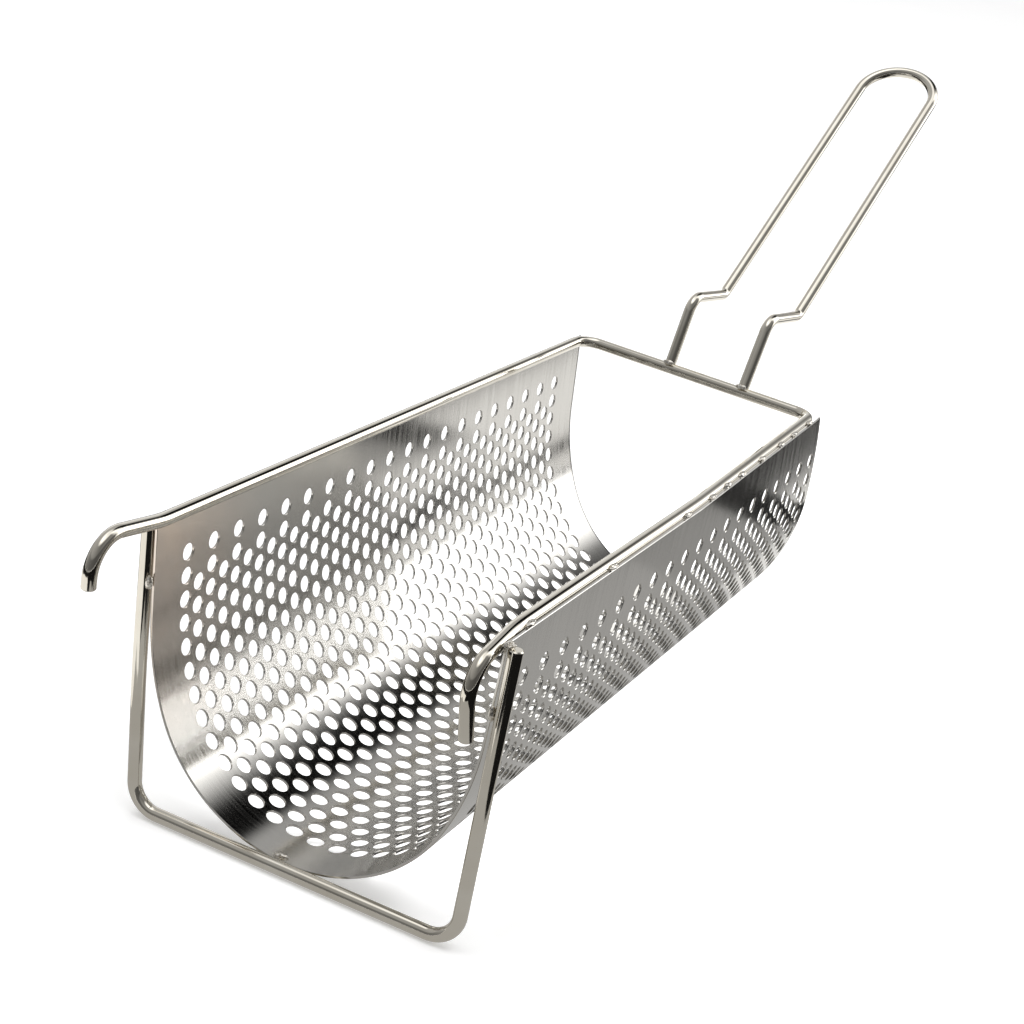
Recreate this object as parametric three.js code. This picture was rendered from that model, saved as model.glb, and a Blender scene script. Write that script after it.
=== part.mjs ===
// Perforated scoop on a bent-wire frame, in millimetres, +Z up.
// X runs across the trough, +Y from the hooks and foot at the front to the handle at the back.
// Shapes are laid out from the sheet's front edge (Y 0) and its lowest line (Z 0), and the whole
// scoop is then moved so that the origin is the bottom centre of its overall box.
import * as THREE from 'three';

// --- driving dimensions -------------------------------------------------------------------------
const SHEET_T = 0.8;              // sheet thickness
const SHEET_LEN = 258;            // trough length along its lowest line
const REAR_SKEW = 7.5;            // degrees by which the rear end is out of square, left side longer
const FLOOR_R = 48;               // radius of the trough floor
const FLOOR_ANGLE = 65;           // degrees from the bottom line to the end of the floor radius
const WALL_ANGLE = 87;            // degrees at which the shoulder radius runs into the flat wall
const TOP_HALF = 52.2;            // half width at the top of the wall
const TOP_Z = 84.7;               // height of the sheet's top edge and of the rim wire's centre
const WIRE_D = 4;                 // every wire of the frame
const WIRE_SIDES = 14;
const BEND_STEP = 11;             // degrees between rings in a bend
const RAIL_X = 49.5;              // rim wire lies just inside the wall
const TAPER_Y = 129;              // from here back, the right rail and wall top lean inward
const TAPER_SLOPE = 0.0291;       // inward per unit of length
const BACK_BAR_Y = 255.3;         // rear bar's centre, on the middle line
const BACK_CORNER_R = 7;
const HANDLE_X = 3;               // handle sits a little right of the middle line
const HANDLE_Y = 255.3;
const HANDLE_YAW = 3.2;           // degrees by which the handle turns to the right
const STRAND_X = 15.2;            // half spacing of the handle's two strands
const HANDLE_RISE = 66.2;         // degrees at which the strands leave the rear bar
const JOINT_GAP = 0.5;            // clearance between an end face and the wire that it meets
const STAND_Y = -2.5;             // base bar stands in front of the sheet's edge
const STAND_Z = -0.1;

const rad = THREE.MathUtils.degToRad;
const vec = (x, y, z) => new THREE.Vector3(x, y, z);
const rearShift = (x) => -x * Math.tan(rad(REAR_SKEW));
const taper = (y) => TAPER_SLOPE * Math.max(0, y - TAPER_Y);

// --- materials ----------------------------------------------------------------------------------
const sheetSteel = () => new THREE.MeshStandardMaterial({ color: 0xa39e94, roughness: 0.38, metalness: 1 });
const wireSteel = () => new THREE.MeshStandardMaterial({ color: 0xc0bcae, roughness: 0.16, metalness: 1 });
const beadSteel = () => new THREE.MeshStandardMaterial({ color: 0xb5ada0, roughness: 0.3, metalness: 1 });

const scoop = new THREE.Group();

function addPiece(name, geometry, material) {
  const mesh = new THREE.Mesh(geometry, material);
  mesh.name = name;
  scoop.add(mesh);
  return mesh;
}

// --- bent wire ----------------------------------------------------------------------------------
// A wire given by its corner points and the centreline radius of each inner corner. Rings lie only
// at the free ends and through the bends, so straight runs stay one segment long.
class BentWire extends THREE.Curve {
  constructor(corners, radii) {
    super();
    this.points = [corners[0].clone()];
    this.tangents = [corners[1].clone().sub(corners[0]).normalize()];
    for (let i = 1; i < corners.length - 1; i += 1) {
      this.addBend(corners[i - 1], corners[i], corners[i + 1], radii[i - 1]);
    }
    const last = corners.length - 1;
    this.push(corners[last].clone(), corners[last].clone().sub(corners[last - 1]).normalize());
  }

  push(point, tangent) {
    if (point.distanceTo(this.points[this.points.length - 1]) < 0.05) return;
    this.points.push(point);
    this.tangents.push(tangent);
  }

  addBend(before, corner, after, radius) {
    const incoming = corner.clone().sub(before).normalize();
    const outgoing = after.clone().sub(corner).normalize();
    const turn = incoming.angleTo(outgoing);
    const setback = radius * Math.tan(turn / 2);
    const start = corner.clone().addScaledVector(incoming, -setback);
    const inward = outgoing.clone().addScaledVector(incoming, -outgoing.dot(incoming)).normalize();
    const rings = Math.max(1, Math.ceil(turn / rad(BEND_STEP)));
    for (let k = 0; k <= rings; k += 1) {
      const a = (turn * k) / rings;
      const point = start.clone();
      point.addScaledVector(incoming, radius * Math.sin(a));
      point.addScaledVector(inward, radius * (1 - Math.cos(a)));
      const tangent = incoming.clone().multiplyScalar(Math.cos(a));
      tangent.addScaledVector(inward, Math.sin(a));
      this.push(point, tangent);
    }
  }

  get steps() {
    return this.points.length - 1;
  }

  getPointAt(u, target = new THREE.Vector3()) {
    return target.copy(this.points[Math.round(u * this.steps)]);
  }

  getTangentAt(u, target = new THREE.Vector3()) {
    return target.copy(this.tangents[Math.round(u * this.steps)]);
  }
}

function wireSection() {
  const outline = [];
  for (let k = 0; k < WIRE_SIDES; k += 1) {
    const a = (2 * Math.PI * k) / WIRE_SIDES;
    outline.push(new THREE.Vector2(Math.cos(a), Math.sin(a)).multiplyScalar(WIRE_D / 2));
  }
  return new THREE.Shape(outline);
}

function wireGeometry(corners, radii) {
  const path = new BentWire(corners, radii);
  const options = { steps: path.steps, extrudePath: path, bevelEnabled: false };
  return new THREE.ExtrudeGeometry(wireSection(), options);
}

// --- trough sheet -------------------------------------------------------------------------------
// Half section: floor radius, a larger shoulder radius, then a flat wall leaning 3 degrees outward.
function shoulderRadius() {
  const lean = Math.tan(rad(90 - WALL_ANGLE));
  const floorX = FLOOR_R * Math.sin(rad(FLOOR_ANGLE));
  const floorZ = FLOOR_R * (1 - Math.cos(rad(FLOOR_ANGLE)));
  const acrossPerR = Math.sin(rad(WALL_ANGLE)) - Math.sin(rad(FLOOR_ANGLE));
  const upPerR = Math.cos(rad(FLOOR_ANGLE)) - Math.cos(rad(WALL_ANGLE));
  return (TOP_HALF - lean * (TOP_Z - floorZ) - floorX) / (acrossPerR - lean * upPerR);
}

// Points on the section at a distance offset outside (+) or inside (-) the middle of the sheet.
function sectionPoints(offset) {
  const shoulderR = shoulderRadius();
  const floorEnd = rad(FLOOR_ANGLE);
  const centre = new THREE.Vector2(0, FLOOR_R);
  const shift = FLOOR_R - shoulderR;
  const shoulderX = shift * Math.sin(floorEnd);
  const shoulderZ = FLOOR_R - shift * Math.cos(floorEnd);
  const half = [];
  for (let deg = 0; deg <= FLOOR_ANGLE; deg += 5) {
    const a = rad(deg);
    half.push([centre.x + (FLOOR_R + offset) * Math.sin(a), centre.y - (FLOOR_R + offset) * Math.cos(a)]);
  }
  for (let deg = FLOOR_ANGLE + 5.5; deg <= WALL_ANGLE; deg += 5.5) {
    const a = rad(deg);
    half.push([
      shoulderX + (shoulderR + offset) * Math.sin(a),
      shoulderZ - (shoulderR + offset) * Math.cos(a),
    ]);
  }
  half.push([TOP_HALF + offset / Math.sin(rad(WALL_ANGLE)), TOP_Z]);
  const left = half.slice(1).reverse().map(([x, z]) => [-x, z]);
  return [...left, ...half];
}

function troughGeometry() {
  const outer = sectionPoints(SHEET_T / 2);
  const inner = sectionPoints(-SHEET_T / 2).reverse();
  const outline = [...outer, ...inner].map(([x, z]) => new THREE.Vector2(x, z));
  const geometry = new THREE.ExtrudeGeometry(new THREE.Shape(outline), {
    depth: SHEET_LEN,
    steps: 2,
    bevelEnabled: false,
  });
  geometry.rotateX(Math.PI / 2);
  geometry.translate(0, SHEET_LEN, 0);
  const spots = geometry.attributes.position;
  for (let i = 0; i < spots.count; i += 1) {
    if (spots.getY(i) > SHEET_LEN * 0.75) {
      const lean = taper(SHEET_LEN) * Math.pow(Math.max(spots.getZ(i), 0) / TOP_Z, 4);
      if (spots.getX(i) > 0) spots.setX(i, spots.getX(i) - lean);
      spots.setY(i, SHEET_LEN + rearShift(spots.getX(i)));
    }
  }
  geometry.computeVertexNormals();
  return geometry;
}

// --- frame wires --------------------------------------------------------------------------------
// One wire: left hook, left rail, rear cross bar, right rail, right hook. The left hook reaches
// further forward; the right one dips, and its tip turns back under.
function rimGeometry() {
  const rightX = RAIL_X - taper(BACK_BAR_Y + rearShift(RAIL_X));
  const corners = [
    vec(-RAIL_X, -30.5, 74),
    vec(-RAIL_X, -30.4, 88.2),
    vec(-RAIL_X, -2, TOP_Z),
    vec(-RAIL_X, BACK_BAR_Y + rearShift(-RAIL_X), TOP_Z),
    vec(rightX, BACK_BAR_Y + rearShift(rightX), TOP_Z),
    vec(RAIL_X, TAPER_Y, TOP_Z),
    vec(RAIL_X, 10, TOP_Z),
    vec(RAIL_X, -13.4, 80.3),
    vec(RAIL_X, -8.5, 60.4),
  ];
  return wireGeometry(corners, [10, 40, BACK_CORNER_R, BACK_CORNER_R, 300, 40, 9]);
}

// One wire bent to a U: two legs outside the walls, bowed a little, and the base bar.
function standGeometry() {
  const corners = [
    vec(-55, 1, 81.5),
    vec(-52.4, -0.9, 42),
    vec(-48.4, STAND_Y, STAND_Z),
    vec(53.4, STAND_Y, STAND_Z),
    vec(54.3, -1.6, 42),
    vec(54.95, 0, 84),
  ];
  return wireGeometry(corners, [500, 8.5, 8.5, 500]);
}

// A point of the handle: across from its middle line, back from the rear bar, and height.
function handlePoint(across, back, z) {
  const turn = rad(HANDLE_YAW);
  const x = HANDLE_X + across * Math.cos(turn) + back * Math.sin(turn);
  const y = HANDLE_Y - across * Math.sin(turn) + back * Math.cos(turn);
  return vec(x, y, z);
}

// The same, with the distance back measured from the rear bar's centre, which is more out of square.
function rootPoint(across, back, z) {
  const at = handlePoint(across, back, z);
  at.y = BACK_BAR_Y + rearShift(at.x) + back;
  return at;
}

// One hairpin: both ends on the rear bar, a notch behind the trough, a half-round far end.
function handleGeometry() {
  const rootReach = WIRE_D / 2 + JOINT_GAP;
  const rootBack = rootReach * Math.cos(rad(HANDLE_RISE));
  const rootZ = TOP_Z + rootReach * Math.sin(rad(HANDLE_RISE));
  const profile = [[11.1, 109.9], [39.1, 106.8], [152.9, 187.7]];
  const right = profile.map(([back, z]) => handlePoint(STRAND_X, back, z));
  const left = profile.map(([back, z]) => handlePoint(-STRAND_X, back, z)).reverse();
  right.unshift(rootPoint(STRAND_X, rootBack, rootZ));
  left.push(rootPoint(-STRAND_X, rootBack, rootZ));
  return wireGeometry([...right, ...left], [7, 5, STRAND_X, STRAND_X, 5, 7]);
}

// --- weld beads ---------------------------------------------------------------------------------
function addBead(name, x, y, z, rx, ry, rz) {
  const geometry = new THREE.SphereGeometry(1, 8, 6);
  geometry.scale(rx, ry, rz);
  const bead = addPiece(name, geometry, beadSteel());
  bead.position.set(x, y, z);
}

// The beads lie in the notch between the rail and the sheet's top edge, closer together at the right rear.
function addRimBeads() {
  const rightY = [14, 65, 119, 140, 154, 168, 188, 208, 223, 240];
  const leftY = [6, 60, 126, 166, 204, 234];
  rightY.forEach((y, i) => {
    addBead(`weld_rim_right_${i + 1}`, 52.35 - taper(y), y, 85.85, 0.75, 2.1, 0.75);
  });
  leftY.forEach((y, i) => {
    addBead(`weld_rim_left_${i + 1}`, -52.35, y, 85.85, 0.75, 2.1, 0.75);
  });
}

function addStandBeads() {
  addBead('weld_leg_top_right', 54.4, 0, 85.2, 1.2, 1.4, 0.8);
  addBead('weld_leg_top_left', -54.1, 1, 82.7, 1.2, 1.4, 0.8);
  addBead('weld_leg_side_right', 51.6, -1.1, 66, 0.75, 0.75, 1.7);
  addBead('weld_leg_side_left', -51, -1.1, 66, 0.75, 0.75, 1.7);
  addBead('weld_base_bar', -1.6, 0.3, 1.6, 1.8, 0.75, 0.75);
}

function addHandleBeads() {
  for (const [side, across] of [['right', STRAND_X], ['left', -STRAND_X]]) {
    const at = rootPoint(across, -1.85, TOP_Z + 2.6);
    addBead(`weld_handle_${side}`, at.x, at.y, at.z, 1.7, 0.7, 0.7);
  }
}

addPiece('trough_sheet', troughGeometry(), sheetSteel());
addPiece('rim_wire', rimGeometry(), wireSteel());
addPiece('stand_wire', standGeometry(), wireSteel());
addPiece('handle_wire', handleGeometry(), wireSteel());
addRimBeads();
addStandBeads();
addHandleBeads();

// Origin at the bottom centre of the overall box.
const overall = new THREE.Box3().setFromObject(scoop, true);
const middle = overall.getCenter(new THREE.Vector3());
scoop.position.set(-middle.x, -middle.y, -overall.min.z);
scoop.updateMatrixWorld(true);

export default scoop;
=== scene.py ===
"""Looks of the perforated wire-framed scoop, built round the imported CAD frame."""

import math

import bmesh
import bpy
import numpy as np
from mathutils import Matrix, Vector, noise


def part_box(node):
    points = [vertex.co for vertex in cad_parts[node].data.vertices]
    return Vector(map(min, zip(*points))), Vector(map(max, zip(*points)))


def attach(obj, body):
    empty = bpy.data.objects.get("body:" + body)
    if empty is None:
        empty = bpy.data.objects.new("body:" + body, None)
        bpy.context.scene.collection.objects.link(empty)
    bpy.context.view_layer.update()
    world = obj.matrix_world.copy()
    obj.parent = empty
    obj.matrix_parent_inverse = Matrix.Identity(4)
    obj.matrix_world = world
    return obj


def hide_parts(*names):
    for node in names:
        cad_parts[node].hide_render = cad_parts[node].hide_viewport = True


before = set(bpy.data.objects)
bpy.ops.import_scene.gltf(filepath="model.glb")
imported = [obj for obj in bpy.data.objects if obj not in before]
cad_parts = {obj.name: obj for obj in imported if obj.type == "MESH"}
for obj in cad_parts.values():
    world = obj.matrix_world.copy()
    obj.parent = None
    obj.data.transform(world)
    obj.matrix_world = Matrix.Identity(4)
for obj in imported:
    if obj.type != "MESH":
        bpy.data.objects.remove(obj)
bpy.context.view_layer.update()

# --- layout: millimetres from the sheet's front edge (y), its lowest line (z) and its middle (x) ---
SHEET_T = 0.8
SHEET_LEN = 258.0
REAR_SKEW = math.radians(7.5)
FLOOR_R = 48.0
FLOOR_ANGLE = math.radians(65)
WALL_ANGLE = math.radians(87)
TOP_HALF = 52.2
TOP_Z = 84.7
WIRE_R = 2.0
RAIL_X = 49.5
TAPER_Y = 129.0
TAPER_SLOPE = 0.0291
BACK_BAR_Y = 255.3
HANDLE_X = 3.0
HANDLE_Y = 255.3
HANDLE_YAW = math.radians(3.2)
STRAND_X = 15.2
HANDLE_RISE = math.radians(66.2)
PITCH = 7.0
ROW = PITCH * math.sqrt(3) / 2
FIRST_ROW = 15.0
HOLE_R = 2.5
HOLE_SIDES = 18
HOLE_CHAMFER = 0.15
EDGE_CHAMFER = 0.12
WIRE_CHAMFER = 0.3
SKEWED_LEN = 10.0
SHARP_ANGLE = math.radians(32)

sheet_lo, sheet_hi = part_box("trough_sheet")
ORIGIN = Vector(((sheet_lo.x + sheet_hi.x) / 2, sheet_lo.y, sheet_hi.z - TOP_Z / 1000))


def place(x, y, z):
    return ORIGIN + Vector((x, y, z)) / 1000


def rear_shift(x):
    return -x * math.tan(REAR_SKEW)


def taper(y):
    return TAPER_SLOPE * np.maximum(0, y - TAPER_Y)


# --- materials ---------------------------------------------------------------------------------
def new_material(name):
    mat = bpy.data.materials.new(name)
    mat.use_nodes = True
    nt = mat.node_tree
    return mat, nt, nt.nodes["Principled BSDF"]


def add_noise(nt, vector, scale, detail=3.0, rough=0.5, stretch=(1, 1, 1)):
    mapping = nt.nodes.new("ShaderNodeMapping")
    mapping.inputs["Scale"].default_value = stretch
    tex = nt.nodes.new("ShaderNodeTexNoise")
    tex.inputs["Scale"].default_value = scale
    tex.inputs["Detail"].default_value = detail
    tex.inputs["Roughness"].default_value = rough
    nt.links.new(vector, mapping.inputs["Vector"])
    nt.links.new(mapping.outputs["Vector"], tex.inputs["Vector"])
    return tex.outputs["Fac"]


def add_ramp(nt, fac, stops):
    ramp = nt.nodes.new("ShaderNodeValToRGB")
    while len(ramp.color_ramp.elements) < len(stops):
        ramp.color_ramp.elements.new(0.5)
    for element, (at, colour) in zip(ramp.color_ramp.elements, stops):
        element.position = at
        element.color = (*colour, 1)
    nt.links.new(fac, ramp.inputs["Fac"])
    return ramp.outputs["Color"]


def add_range(nt, fac, low, high, start=0.3, end=0.7):
    node = nt.nodes.new("ShaderNodeMapRange")
    node.inputs["From Min"].default_value = start
    node.inputs["From Max"].default_value = end
    node.inputs["To Min"].default_value = low
    node.inputs["To Max"].default_value = high
    nt.links.new(fac, node.inputs["Value"])
    return node.outputs["Result"]


def add_math(nt, operation, first, second=None):
    node = nt.nodes.new("ShaderNodeMath")
    node.operation = operation
    nt.links.new(first, node.inputs[0])
    if second is not None:
        nt.links.new(second, node.inputs[1])
    return node.outputs[0]


def add_mix(nt, factor, first, second):
    """Colour mix; the second colour is a socket or three plain numbers."""
    node = nt.nodes.new("ShaderNodeMix")
    node.data_type = "RGBA"
    nt.links.new(factor, node.inputs["Factor"])
    nt.links.new(first, node.inputs["A"])
    if isinstance(second, tuple):
        node.inputs["B"].default_value = (*second, 1)
    else:
        nt.links.new(second, node.inputs["B"])
    return node.outputs["Result"]


def add_split(nt, vector):
    node = nt.nodes.new("ShaderNodeSeparateXYZ")
    nt.links.new(vector, node.inputs["Vector"])
    return node.outputs


def add_bump(nt, height, distance, strength, before=None):
    node = nt.nodes.new("ShaderNodeBump")
    node.inputs["Distance"].default_value = distance
    node.inputs["Strength"].default_value = strength
    nt.links.new(height, node.inputs["Height"])
    if before is not None:
        nt.links.new(before, node.inputs["Normal"])
    return node.outputs["Normal"]


def sheet_material():
    """Satin steel brushed along the trough, with a painted warm highlight at the left front corner and
    painted shade along the rear cut edge.
    """
    mat, nt, bsdf = new_material("rolled_steel_sheet")
    uv = nt.nodes.new("ShaderNodeUVMap")
    uv.uv_map = "run"
    flat = uv.outputs["UV"]
    brush = add_noise(nt, flat, 1.0, 4, 0.6, (3, 900, 1))
    cloud = add_noise(nt, flat, 14.0, 3, 0.5)
    wave = add_noise(nt, flat, 1.0, 1, 0.4, (22, 7, 1))
    mottle = add_noise(nt, flat, 60.0, 4, 0.6)
    bsdf.inputs["Metallic"].default_value = 1
    tint = add_ramp(nt, cloud, [(0.3, (0.53, 0.515, 0.485)), (0.7, (0.6, 0.588, 0.56))])
    across, along, _ = add_split(nt, flat)
    # Painted highlight: a lighter, warm patch at the left front corner stands in for the highlight seen
    # there.
    near_front = add_range(nt, along, 1, 0, 0.004, 0.05)
    near_left = add_range(nt, across, 1, 0, -0.095, -0.045)
    painted_highlight = add_math(nt, "MULTIPLY", near_front, near_left)
    amount = add_math(nt, "MULTIPLY", painted_highlight, add_range(nt, mottle, 0.5, 1.0))
    tone = add_mix(nt, amount, tint, (0.84, 0.72, 0.62))
    end = SHEET_LEN / 1000
    # Painted shade: a dark line along the rear cut edge stands in for the shade there.
    at_rear = add_range(nt, along, 0, 1, end - 0.0009, end - 0.0004)
    rear_edge_shade = add_mix(nt, at_rear, tone, (0.1, 0.095, 0.085))
    nt.links.new(rear_edge_shade, bsdf.inputs["Base Color"])
    nt.links.new(add_range(nt, brush, 0.1, 0.19), bsdf.inputs["Roughness"])
    low = add_bump(nt, wave, 0.0004, 0.35)
    fine = add_bump(nt, brush, 0.00002, 0.35, low)
    nt.links.new(fine, bsdf.inputs["Normal"])
    return mat


def wire_material():
    mat, nt, bsdf = new_material("drawn_steel_wire")
    uv = nt.nodes.new("ShaderNodeUVMap")
    uv.uv_map = "run"
    drawn = add_noise(nt, uv.outputs["UV"], 1.0, 3, 0.5, (12, 90, 1))
    cloud = add_noise(nt, uv.outputs["UV"], 1.0, 3, 0.6, (45, 3, 1))
    bsdf.inputs["Metallic"].default_value = 1
    tint = add_ramp(nt, cloud, [(0.3, (0.63, 0.59, 0.51)), (0.7, (0.72, 0.69, 0.62))])
    nt.links.new(tint, bsdf.inputs["Base Color"])
    nt.links.new(add_range(nt, drawn, 0.05, 0.11), bsdf.inputs["Roughness"])
    nt.links.new(add_bump(nt, drawn, 0.00002, 0.3), bsdf.inputs["Normal"])
    return mat


def weld_material():
    mat, nt, bsdf = new_material("weld_metal")
    coord = nt.nodes.new("ShaderNodeTexCoord")
    grain = add_noise(nt, coord.outputs["Object"], 900, 4, 0.6)
    bsdf.inputs["Metallic"].default_value = 1
    stops = [(0.3, (0.34, 0.29, 0.22)), (0.5, (0.74, 0.71, 0.65)), (0.72, (0.86, 0.84, 0.8))]
    tint = add_ramp(nt, grain, stops)
    nt.links.new(tint, bsdf.inputs["Base Color"])
    nt.links.new(add_range(nt, grain, 0.18, 0.4), bsdf.inputs["Roughness"])
    nt.links.new(add_bump(nt, grain, 0.0002, 0.5), bsdf.inputs["Normal"])
    return mat


SHEET_MAT = sheet_material()
WIRE_MAT = wire_material()
WELD_MAT = weld_material()


def add_object(name, verts, faces, material, nodes):
    mesh = bpy.data.meshes.new(name)
    mesh.from_pydata(verts, [], faces)
    mesh.materials.append(material)
    obj = bpy.data.objects.new(name, mesh)
    bpy.context.scene.collection.objects.link(obj)
    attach(obj, "root")
    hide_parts(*nodes)
    return obj


# --- perforated sheet --------------------------------------------------------------------------
def section():
    """Shoulder radius, its centre, and the girth at which each part of the half section ends."""
    lean = math.tan(math.pi / 2 - WALL_ANGLE)
    floor_x = FLOOR_R * math.sin(FLOOR_ANGLE)
    floor_z = FLOOR_R * (1 - math.cos(FLOOR_ANGLE))
    across = math.sin(WALL_ANGLE) - math.sin(FLOOR_ANGLE)
    up = math.cos(FLOOR_ANGLE) - math.cos(WALL_ANGLE)
    radius = (TOP_HALF - lean * (TOP_Z - floor_z) - floor_x) / (across - lean * up)
    centre_x = (FLOOR_R - radius) * math.sin(FLOOR_ANGLE)
    centre_z = FLOOR_R - (FLOOR_R - radius) * math.cos(FLOOR_ANGLE)
    floor_end = FLOOR_R * FLOOR_ANGLE
    shoulder_end = floor_end + radius * (WALL_ANGLE - FLOOR_ANGLE)
    wall_z = centre_z - radius * math.cos(WALL_ANGLE)
    top = shoulder_end + (TOP_Z - wall_z) / math.sin(WALL_ANGLE)
    return radius, centre_x, centre_z, floor_end, shoulder_end, top


SHOULDER_R, SHOULDER_X, SHOULDER_Z, FLOOR_END, SHOULDER_END, GIRTH = section()


def roll(s, t):
    """Girth s and offset t (outside +) to x, z and the outward normal, as arrays."""
    side = np.where(s < 0, -1.0, 1.0)
    g = np.abs(s)
    on_floor = g <= FLOOR_END
    angle = np.where(on_floor, g / FLOOR_R, FLOOR_ANGLE + (g - FLOOR_END) / SHOULDER_R)
    angle = np.minimum(angle, WALL_ANGLE)
    along = np.maximum(g - SHOULDER_END, 0)
    radius = np.where(on_floor, FLOOR_R, SHOULDER_R)
    cx = np.where(on_floor, 0.0, SHOULDER_X)
    cz = np.where(on_floor, FLOOR_R, SHOULDER_Z)
    x = cx + (radius + t) * np.sin(angle) + along * math.cos(WALL_ANGLE)
    z = cz - (radius + t) * np.cos(angle) + along * math.sin(WALL_ANGLE)
    return side * x, z, side * np.sin(angle), -np.cos(angle)


def flat_pattern():
    """The flat sheet as hexagonal cells, each with a round hole or none; its z is the half thickness."""
    corners = [(0, -2), (1.5, -1), (1.5, 1), (0, 2), (-1.5, 1), (-1.5, -1)]
    corners = [(c[0] * PITCH / 3, c[1] * PITCH / math.sqrt(12)) for c in corners]
    half = SHEET_T / 2
    rim = []
    for k in range(6):
        a, b = corners[k], corners[(k + 1) % 6]
        rim += [(a[0] + (b[0] - a[0]) * j / 3, a[1] + (b[1] - a[1]) * j / 3) for j in range(3)]
    turns = [math.radians(-90 + 360 / HOLE_SIDES * k) for k in range(HOLE_SIDES)]
    rings = [(HOLE_R + HOLE_CHAMFER, half), (HOLE_R, half - HOLE_CHAMFER)]
    verts, faces, shared = [], [], {}

    def corner(x, y):
        key = (round(x, 3), round(y, 3))
        if key not in shared:
            shared[key] = len(verts)
            verts.append((x, y, half))
        return shared[key]

    for row in range(-3, 42):
        y = FIRST_ROW + ROW * row
        for step in range(-3, 33):
            place_on = step + (row % 2) * 0.5
            s = PITCH * (place_on - 14)
            if abs(s) > GIRTH + PITCH / 2:
                continue
            edge = [corner(s + dx, y + dy) for dx, dy in rim]
            first, last = (0, 28) if row % 2 == 0 else (1.5, 26.5)
            if 0 <= row <= 38 and first <= place_on <= last:
                base = len(verts)
                for r, z in rings:
                    verts += [(s + r * math.cos(a), y + r * math.sin(a), z) for a in turns]
                for k in range(HOLE_SIDES):
                    n = (k + 1) % HOLE_SIDES
                    faces.append((edge[k], edge[n], base + n, base + k))
                    inner = base + HOLE_SIDES
                    faces.append((base + k, base + n, inner + n, inner + k))
            else:
                verts.append((s, y, half))
                middle = len(verts) - 1
                faces += [(edge[k], edge[(k + 1) % HOLE_SIDES], middle) for k in range(HOLE_SIDES)]
    return verts, faces


def trim(verts, faces):
    """Cuts the flat pattern to size, with a small chamfer line inside each border."""
    mesh = bpy.data.meshes.new("flat")
    mesh.from_pydata(verts, [], faces)
    bm = bmesh.new()
    bm.from_mesh(mesh)
    bpy.data.meshes.remove(mesh)
    borders = [
        ((-GIRTH, 0, 0), (-1, 0, 0)),
        ((GIRTH, 0, 0), (1, 0, 0)),
        ((0, 0, 0), (0, -1, 0)),
        ((0, SHEET_LEN, 0), (0, 1, 0)),
    ]
    for at, outward in borders:
        for inset in (0.0, EDGE_CHAMFER):
            geom = bm.verts[:] + bm.edges[:] + bm.faces[:]
            co = Vector(at) - Vector(outward) * inset
            bmesh.ops.bisect_plane(bm, geom=geom, plane_co=co, plane_no=outward, clear_outer=inset == 0)
    for v in bm.verts:
        if min(GIRTH - abs(v.co.x), v.co.y, SHEET_LEN - v.co.y) < 0.01:
            v.co.z = SHEET_T / 2 - EDGE_CHAMFER
    bm.verts.index_update()
    flat = np.array([v.co[:] for v in bm.verts])
    out_faces = [[v.index for v in f.verts] for f in bm.faces]
    edges = []
    for e in bm.edges:
        if len(e.link_faces) == 1:
            loop = e.link_loops[0]
            edges.append((loop.vert.index, loop.link_loop_next.vert.index))
    bm.free()
    return flat, out_faces, edges


def build_sheet():
    """The flat pattern given its thickness, rolled to the U and skewed over its last stretch."""
    flat, faces, edges = trim(*flat_pattern())
    count = len(flat)
    s = np.concatenate([flat[:, 0]] * 2)
    t = np.concatenate([-flat[:, 2], flat[:, 2]])
    y = np.concatenate([flat[:, 1]] * 2)
    x, z, nx, nz = roll(s, t)
    x = x - np.where(s > 0, taper(y) * np.clip(z / TOP_Z, 0, 1) ** 4, 0)
    ease = np.clip((y - (SHEET_LEN - SKEWED_LEN)) / SKEWED_LEN, 0, 1)
    run = y + rear_shift(x) * ease
    verts = np.stack([x, run, z], 1) / 1000 + np.array(ORIGIN)
    all_faces = [tuple(f) for f in faces]
    all_faces += [tuple(i + count for i in reversed(f)) for f in faces]
    all_faces += [(b, a, a + count, b + count) for a, b in edges]
    nodes = ["trough_sheet"]
    mesh = add_object("perforated_sheet", verts.tolist(), all_faces, SHEET_MAT, nodes).data
    loops = np.empty(len(mesh.loops), dtype=np.int32)
    mesh.loops.foreach_get("vertex_index", loops)
    layer = mesh.uv_layers.new(name="run")
    layer.data.foreach_set("uv", np.stack([s[loops] / 1000, y[loops] / 1000], 1).ravel())
    sizes = np.empty(len(mesh.polygons), dtype=np.int32)
    mesh.polygons.foreach_get("loop_total", sizes)
    face_of = np.repeat(np.arange(len(sizes)), sizes)
    plain = np.abs(np.abs(t[loops]) - SHEET_T / 2) < 1e-6
    whole = np.ones(len(sizes), dtype=bool)
    np.logical_and.at(whole, face_of, plain)
    keep = whole[face_of]
    sign = np.sign(t[loops])
    normals = np.stack([nx[loops] * sign, np.zeros(len(loops)), nz[loops] * sign], 1)
    normals[~keep] = 0
    mesh.polygons.foreach_set("use_smooth", np.ones(len(sizes), dtype=bool))
    mesh.set_sharp_from_angle(angle=SHARP_ANGLE)
    mesh.normals_split_custom_set(normals.tolist())


# --- wires -------------------------------------------------------------------------------------
def bend_path(corners, radii, step=math.radians(4)):
    """Centreline points and tangents through corner points, each inner corner rounded."""
    pts = [Vector(c) for c in corners]
    out = [(pts[0], (pts[1] - pts[0]).normalized())]
    for before, at, after, radius in zip(pts, pts[1:], pts[2:], radii):
        a = (at - before).normalized()
        b = (after - at).normalized()
        turn = a.angle(b)
        start = at - a * radius * math.tan(turn / 2)
        inward = (b - a * b.dot(a)).normalized()
        rings = max(2, math.ceil(turn / step))
        for k in range(rings + 1):
            w = turn * k / rings
            p = start + a * radius * math.sin(w) + inward * radius * (1 - math.cos(w))
            if (p - out[-1][0]).length > 0.05:
                out.append((p, a * math.cos(w) + inward * math.sin(w)))
    out.append((pts[-1], (pts[-1] - pts[-2]).normalized()))
    return out


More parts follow.
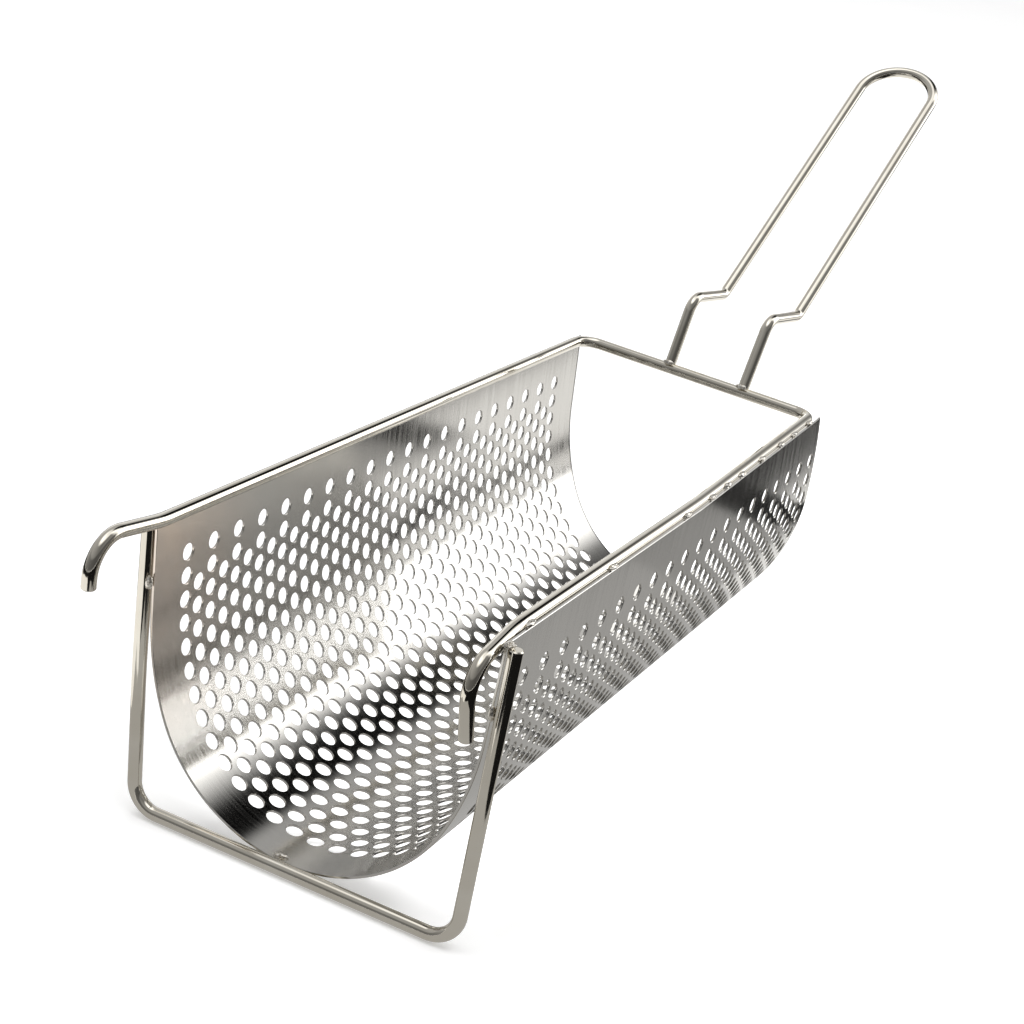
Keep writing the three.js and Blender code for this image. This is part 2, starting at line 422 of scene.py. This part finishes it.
def build_wire(name, corners, radii, node, sides=28):
    """A round wire swept along its bends, with flat-cut ends that have a small worn chamfer."""
    path = bend_path(corners, radii)
    rings = []
    side = path[0][1].orthogonal().normalized()
    length = 0.0
    for i, (p, d) in enumerate(path):
        if i:
            prev_p, prev_d = path[i - 1]
            side = prev_d.rotation_difference(d) @ side
            side = (side - d * side.dot(d)).normalized()
            length += (p - prev_p).length
        rings.append((p, d, side.copy(), WIRE_R, length))
    p, d, u, r, at = rings[0]
    rings[0] = (p + d * WIRE_CHAMFER, d, u, r, at + WIRE_CHAMFER)
    rings.insert(0, (p, d, u, r - WIRE_CHAMFER, at))
    p, d, u, r, at = rings[-1]
    rings[-1] = (p - d * WIRE_CHAMFER, d, u, r, at - WIRE_CHAMFER)
    rings.append((p, d, u, r - WIRE_CHAMFER, at))
    verts, uv = [], []
    for p, d, u, r, at in rings:
        v = d.cross(u)
        for k in range(sides):
            w = 2 * math.pi * k / sides
            verts.append(tuple(place(*(p + (u * math.cos(w) + v * math.sin(w)) * r))))
            uv.append((at / 1000, 0.01 * math.cos(w)))
    faces = []
    for i in range(len(rings) - 1):
        for k in range(sides):
            n = (k + 1) % sides
            faces.append((i * sides + k, i * sides + n, (i + 1) * sides + n, (i + 1) * sides + k))
    top = (len(rings) - 1) * sides
    faces.append(tuple(reversed(range(sides))))
    faces.append(tuple(range(top, top + sides)))
    wire = add_object(name, verts, faces, WIRE_MAT, [node])
    layer = wire.data.uv_layers.new(name="run")
    for loop, spot in zip(wire.data.loops, layer.data):
        spot.uv = uv[loop.vertex_index]
    for poly in wire.data.polygons:
        poly.use_smooth = True
    wire.data.set_sharp_from_angle(angle=SHARP_ANGLE)


def rim_corners():
    right_x = RAIL_X - float(taper(BACK_BAR_Y + rear_shift(RAIL_X)))
    return [
        (-RAIL_X, -30.5, 74),
        (-RAIL_X, -30.4, 88.2),
        (-RAIL_X, -2, TOP_Z),
        (-RAIL_X, BACK_BAR_Y + rear_shift(-RAIL_X), TOP_Z),
        (right_x, BACK_BAR_Y + rear_shift(right_x), TOP_Z),
        (RAIL_X, TAPER_Y, TOP_Z),
        (RAIL_X, 10, TOP_Z),
        (RAIL_X, -13.4, 80.3),
        (RAIL_X, -8.5, 60.4),
    ]


def stand_corners():
    return [
        (-55, 1, 81.5),
        (-52.4, -0.9, 42),
        (-48.4, -2.5, -0.1),
        (53.4, -2.5, -0.1),
        (54.3, -1.6, 42),
        (54.95, 0, 84),
    ]


def handle_point(across, back, z):
    c, s = math.cos(HANDLE_YAW), math.sin(HANDLE_YAW)
    x = HANDLE_X + across * c + back * s
    y = HANDLE_Y - across * s + back * c
    return (x, y, z)


def root_point(across, back, z):
    x = handle_point(across, back, z)[0]
    return (x, BACK_BAR_Y + rear_shift(x) + back, z)


def handle_corners():
    reach = WIRE_R - 0.4
    root = (reach * math.cos(HANDLE_RISE), TOP_Z + reach * math.sin(HANDLE_RISE))
    profile = [(11.1, 109.9), (39.1, 106.8), (152.9, 187.7)]
    right = [handle_point(STRAND_X, b, z) for b, z in profile]
    left = [handle_point(-STRAND_X, b, z) for b, z in reversed(profile)]
    return [root_point(STRAND_X, *root)] + right + left + [root_point(-STRAND_X, *root)]


# --- weld lumps --------------------------------------------------------------------------------
def build_weld(node, seed):
    """A rippled lump of weld metal in the place and size of its CAD bead, a little proud of it."""
    lo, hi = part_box(node)
    centre = (lo + hi) / 2
    half = (hi - lo) / 2 * 1.22
    outward = math.copysign(0.001, centre.x - ORIGIN.x)
    if node.startswith("weld_rim"):
        inward = 0.7 if outward > 0 else 1.7
        centre += Vector((-inward * outward, 0, -0.0008))
    elif node.startswith("weld_leg_top"):
        centre += Vector((-1.3 * outward, 0, -0.0007))
    elif node.startswith("weld_leg_side"):
        centre += Vector((0.5 * outward, -0.0004, 0))
    bm = bmesh.new()
    bmesh.ops.create_icosphere(bm, subdivisions=4, radius=1)
    for v in bm.verts:
        p = v.co.copy()
        ripple = noise.noise(p * 1.7 + Vector((seed * 3.1, 0, 0)))
        fine = noise.noise(p * 5.5 + Vector((0, seed * 2.3, 0)))
        v.co = p * (1 + 0.28 * ripple + 0.07 * fine)
        v.co = Vector((v.co.x * half.x, v.co.y * half.y, v.co.z * half.z)) + centre
    bm.verts.index_update()
    verts = [tuple(v.co) for v in bm.verts]
    faces = [tuple(v.index for v in f.verts) for f in bm.faces]
    bm.free()
    lump = add_object(node + "_lump", verts, faces, WELD_MAT, [node])
    for poly in lump.data.polygons:
        poly.use_smooth = True


build_sheet()
build_wire("rim_wire_drawn", rim_corners(), [10, 40, 7, 7, 300, 40, 9], "rim_wire")
build_wire("stand_wire_drawn", stand_corners(), [500, 8.5, 8.5, 500], "stand_wire")
build_wire("handle_wire_drawn", handle_corners(), [7, 5, STRAND_X, STRAND_X, 5, 7], "handle_wire")
for seed, node in enumerate(sorted(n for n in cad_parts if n.startswith("weld_"))):
    build_weld(node, seed)


# --- studio ------------------------------------------------------------------------------------
# Not a neutral studio: the tent's bands, the cards and the floor's glow were set so that the metal's
# reflections match the reference picture in this camera's view. Other views weren't tuned.
FLOOR_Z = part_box("stand_wire")[0].z - 0.0002
FLOOR_HALF = 90
FLOOR_GLOW = 0.28
FLOOR_STRIP_GLOW = 0.65
TENT_STRENGTH = 4.0

# Tent brightness by compass degrees, 0 straight behind the scoop and 90 on its right.
LOW_BAND = [
    (-180, 0.15),
    (-130, 0.25),
    (-70, 0.6),
    (-45, 1.1),
    (-18, 0.85),
    (-8, 0.5),
    (3, 0.2),
    (14, 0.45),
    (19, 1.4),
    (25, 3.2),
    (44, 3.2),
    (56, 0.15),
    (120, 0.1),
    (180, 0.15),
]
MIDDLE_BAND = [
    (-180, 0.35),
    (-110, 0.5),
    (-60, 0.55),
    (-11, 0.55),
    (-7, 0.25),
    (-4, 0.0),
    (16, 0.0),
    (21, 0.3),
    (26, 0.9),
    (32, 1.8),
    (48, 1.7),
    (62, 0.3),
    (120, 0.2),
    (180, 0.35),
]
TOP_BAND = [(-180, 1.9), (-90, 1.9), (0, 1.2), (90, 1.5), (180, 1.9)]

# Reflection cards on the table: name, near left and far right corners, lift in metres, strength.
# They lie over the nearly black card_dark, which hides the white floor within 3 m from reflections.
TABLE_CARDS = [
    ("card_dusk", (92, 300), (148, 900), 0.00008, 0.03),
    ("card_rear_side", (148, 450), (700, 1300), 0.00012, 1.1),
    ("card_grey", (-170, -150), (125, 264), 0.0001, 0.5),
    ("card_grey_right", (58, 264), (125, 350), 0.0001, 0.4),
    ("card_left", (-330, -330), (-110, 60), 0.00012, 1.2),
    ("card_front", (-130, -330), (0, -120), 0.00014, 1.2),
    ("card_rear_near", (-250, 264), (58, 390), 0.00012, 0.95),
    ("card_rear_far", (-300, 390), (92, 1300), 0.00012, 1.15),
]


def add_camera():
    cam = bpy.data.cameras.new("camera")
    cam.lens = 69.405
    cam.sensor_width = 36
    cam.clip_start = 0.01
    obj = bpy.data.objects.new("camera", cam)
    bpy.context.scene.collection.objects.link(obj)
    right = Vector((0.87947, 0.44877, 0.15854))
    up = Vector((-0.29607, 0.25502, 0.92049))
    back = Vector((0.37266, -0.85648, 0.35715))
    turn = Matrix((right, up, back)).transposed().to_4x4()
    obj.matrix_world = Matrix.Translation(place(222.25, -401.29, 285.15)) @ turn
    bpy.context.scene.camera = obj


def add_plane(name, corners, material):
    mesh = bpy.data.meshes.new(name)
    mesh.from_pydata(corners, [], [(0, 1, 2, 3)])
    mesh.materials.append(material)
    obj = bpy.data.objects.new(name, mesh)
    bpy.context.scene.collection.objects.link(obj)
    return obj


def flat_corners(low, high, z):
    return [(low[0], low[1], z), (high[0], low[1], z), (high[0], high[1], z), (low[0], high[1], z)]


def add_floor():
    """White table top that glows a little, and more in a strip under the trough, to whiten its holes."""
    mat, nt, bsdf = new_material("studio_floor")
    coord = nt.nodes.new("ShaderNodeTexCoord")
    soft = add_noise(nt, coord.outputs["Object"], 3, 2)
    tint = add_ramp(nt, soft, [(0.3, (0.9, 0.9, 0.9)), (0.7, (0.92, 0.92, 0.92))])
    nt.links.new(tint, bsdf.inputs["Base Color"])
    bsdf.inputs["Roughness"].default_value = 0.9
    bsdf.inputs["Specular IOR Level"].default_value = 0
    x, y, _ = add_split(nt, coord.outputs["Object"])
    strip = add_range(nt, add_math(nt, "ABSOLUTE", x), FLOOR_STRIP_GLOW, 0.0, 0.035, 0.06)
    behind_front = add_range(nt, y, 0.0, 1.0, ORIGIN.y + 0.002, ORIGIN.y + 0.03)
    glow = add_math(nt, "MULTIPLY", strip, behind_front)
    total = nt.nodes.new("ShaderNodeMath")
    total.operation = "ADD"
    total.inputs[1].default_value = FLOOR_GLOW
    nt.links.new(glow, total.inputs[0])
    bsdf.inputs["Emission Color"].default_value = (1, 1, 1, 1)
    nt.links.new(total.outputs[0], bsdf.inputs["Emission Strength"])
    size = FLOOR_HALF
    add_plane("studio_floor", flat_corners((-size, -size), (size, size), FLOOR_Z), mat)


def add_card(name, corners, strength):
    """A studio card that shows only in reflections."""
    mat, nt, bsdf = new_material(name)
    bsdf.inputs["Base Color"].default_value = (0, 0, 0, 1)
    bsdf.inputs["Specular IOR Level"].default_value = 0
    bsdf.inputs["Emission Color"].default_value = (1, 0.99, 0.97, 1)
    bsdf.inputs["Emission Strength"].default_value = strength
    card = add_plane(name, corners, mat)
    card.visible_camera = False
    card.visible_diffuse = False
    card.visible_shadow = False
    card.visible_transmission = False


def add_table_card(name, low, high, lift, strength):
    """A card that lies the given lift, in metres, above the table."""
    a = place(low[0], low[1], 0)
    b = place(high[0], high[1], 0)
    add_card(name, flat_corners(a, b, FLOOR_Z + lift), strength)


def add_upright_card(name, y, low, high, strength):
    """A card that stands across the trough's line, given by its x and z limits."""
    spots = [(low[0], low[1]), (high[0], low[1]), (high[0], high[1]), (low[0], high[1])]
    add_card(name, [tuple(place(x, y, z)) for x, z in spots], strength)


def add_world():
    """A tent in three bands: brightest low at the rear right, black in a gap higher up at the back."""
    world = bpy.data.worlds.new("studio")
    bpy.context.scene.world = world
    world.use_nodes = True
    nt = world.node_tree
    sky = nt.nodes["Background"]
    coord = nt.nodes.new("ShaderNodeTexCoord")
    x, y, z = add_split(nt, coord.outputs["Generated"])
    turn = add_range(nt, add_math(nt, "ARCTAN2", x, y), 0, 1, -math.pi, math.pi)

    def band(stops):
        grey = [((deg + 180) / 360, (level / TENT_STRENGTH,) * 3) for deg, level in stops]
        return add_ramp(nt, turn, grey)

    def blend(low, high, start, end):
        bottom, top = (math.sin(math.radians(deg)) for deg in (start, end))
        return add_mix(nt, add_range(nt, z, 0, 1, bottom, top), low, high)

    lower = blend(band(LOW_BAND), band(MIDDLE_BAND), 25, 32)
    tent = blend(lower, band(TOP_BAND), 60, 73)
    nt.links.new(tent, sky.inputs["Color"])
    sky.inputs["Strength"].default_value = TENT_STRENGTH


def add_light(name, at, size, power):
    """A soft overhead light for the table top; it has no mirror image in the metal."""
    light = bpy.data.lights.new(name, "AREA")
    light.size = size
    light.energy = power
    obj = bpy.data.objects.new(name, light)
    bpy.context.scene.collection.objects.link(obj)
    aim = (Vector() - Vector(at)).to_track_quat("-Z", "Y")
    obj.matrix_world = Matrix.Translation(at) @ aim.to_matrix().to_4x4()
    obj.visible_glossy = False
    obj.visible_camera = False


add_camera()
add_floor()
add_world()
add_light("overhead", (0, 0, 2.2), 2.5, 26)
add_table_card("card_dark", (-3000, -3000), (3000, 3000), 0.00005, 0.01)
add_upright_card("card_upright", 450, (-112, 58), (-34, 112), 2.0)
for card in TABLE_CARDS:
    add_table_card(*card)
bpy.context.scene.view_settings.view_transform = "Standard"
